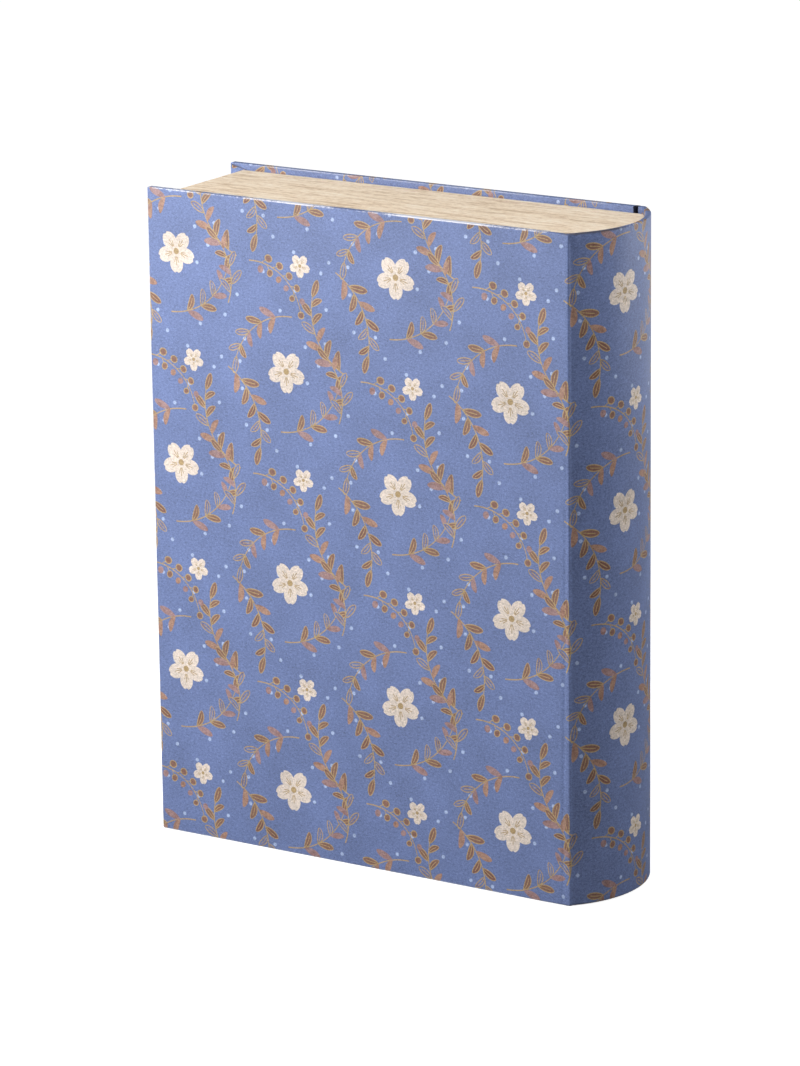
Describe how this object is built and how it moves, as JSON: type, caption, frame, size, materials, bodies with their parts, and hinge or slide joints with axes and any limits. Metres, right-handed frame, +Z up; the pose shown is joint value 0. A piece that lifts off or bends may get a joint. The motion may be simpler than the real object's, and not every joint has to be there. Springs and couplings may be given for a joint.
{
  "type": "book box",
  "caption": "Upright book-shaped keepsake box: hinged front cover as the lid, round spine, and a lined tray whose outer walls look like the edges of pages.",
  "frame": {"origin": "under the middle of the closed box, at the tail edge that it stands on", "axes": "+Z up from tail to head, +X from the fore-edge to the spine, +Y from the back cover to the lid"},
  "size_m": [0.2, 0.06, 0.26],
  "materials": {
    "printed_cover": "matt printed paper, blue ground with small leaves and blossoms",
    "page_edge": "matt cream paper with fine page-edge lines",
    "greyboard": "raw greyboard",
    "lining": "plain ivory laid paper",
    "magnet_steel": "nickel-plated"
  },
  "bodies": {
    "box": {"back_cover_paper": "printed_cover", "spine_cover_paper": "printed_cover", "outer_hinge_paper": "printed_cover", "head_page_paper": "page_edge", "tail_page_paper": "page_edge", "fore_edge_page_paper": "page_edge", "back_board": "greyboard", "spine_shell": "greyboard", "tray_floor": "greyboard", "head_wall": "greyboard", "tail_wall": "greyboard", "fore_edge_wall": "greyboard", "spine_wall": "greyboard", "floor_lining": "lining", "head_lining": "lining", "tail_lining": "lining", "fore_edge_lining": "lining", "spine_lining": "lining", "inner_hinge_strip": "lining", "closing_magnets": "magnet_steel"},
    "lid": {"lid_board": "greyboard", "lid_cover_paper": "printed_cover", "lid_lining": "lining", "lid_keepers": "magnet_steel"}
  },
  "joints": [
    {"name": "lid_hinge", "type": "hinge", "parent": "box", "child": "lid", "pos_m": [0.0838, 0.03015, 0.13], "axis": [0, 0, -1], "range_deg": [0, 180], "deforming": ["outer_hinge_paper", "inner_hinge_strip"]}
  ]
}
